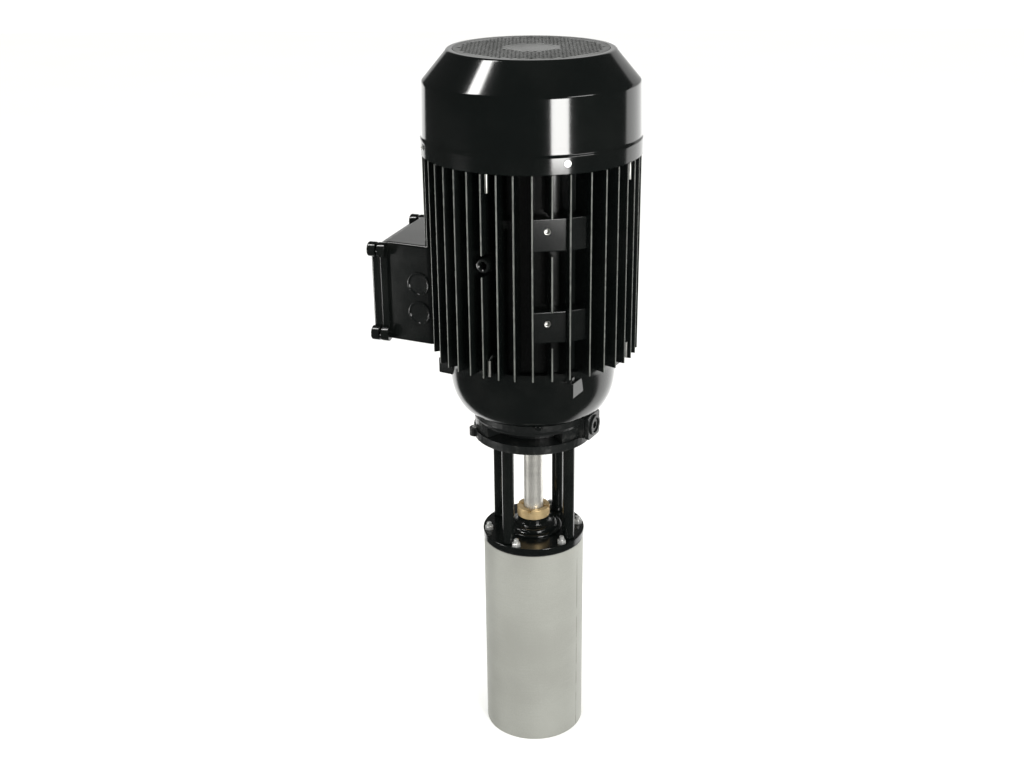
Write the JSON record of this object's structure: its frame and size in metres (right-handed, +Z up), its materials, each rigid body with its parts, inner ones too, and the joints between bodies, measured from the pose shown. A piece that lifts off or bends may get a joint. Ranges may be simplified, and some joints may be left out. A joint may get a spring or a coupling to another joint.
{
  "type": "vertical immersion high-pressure pump",
  "caption": "Immersion high-pressure pump: finned fan-cooled motor on a cast discharge head, tie columns with an open shaft window, and a stainless barrel.",
  "frame": {"origin": "centre of the suction end's flat underside, on the shaft's axis", "axes": "+Z up along the shaft, from the suction end to the fan cowl; -Y is the front; the terminal box looks to -X and a little to +Y; the discharge port looks to +X and a little to -Y"},
  "size_m": [0.3327, 0.2638, 0.9148],
  "materials": {
    "gloss_black_paint": "glossy enamel",
    "black_paint": "semi-gloss enamel",
    "cast_black_paint": "semi-gloss enamel on rough casting",
    "fan_plastic": "moulded",
    "seal": "matt",
    "polished_steel": "ground and polished",
    "brushed_stainless": "brushed, slightly warm",
    "brass": "machined"
  },
  "bodies": {
    "pump_frame": {"fan_cowl": "gloss_black_paint", "cowl_grille": "gloss_black_paint", "rear_end_shield": "black_paint", "stator_housing": "black_paint", "terminal_box_body": "black_paint", "terminal_box_gasket": "seal", "terminal_box_cover": "black_paint", "drive_end_shield": "black_paint", "discharge_head": "cast_black_paint", "port_flange": "cast_black_paint", "port_plug": "cast_black_paint", "mounting_plate": "cast_black_paint", "column_1": "black_paint", "column_2": "black_paint", "column_3": "black_paint", "column_4": "black_paint", "gland_nut": "brass", "gland_housing": "black_paint", "pump_flange": "black_paint", "barrel_gasket": "seal", "pump_barrel": "brushed_stainless", "suction_strainer": "brushed_stainless"},
    "rotor": {"pump_shaft": "polished_steel", "fan_wheel": "fan_plastic"}
  },
  "joints": [
    {"name": "shaft_spin", "type": "hinge", "parent": "pump_frame", "child": "rotor", "pos_m": [0, 0, 0.5], "axis": [0, 0, 1], "continuous": true}
  ]
}
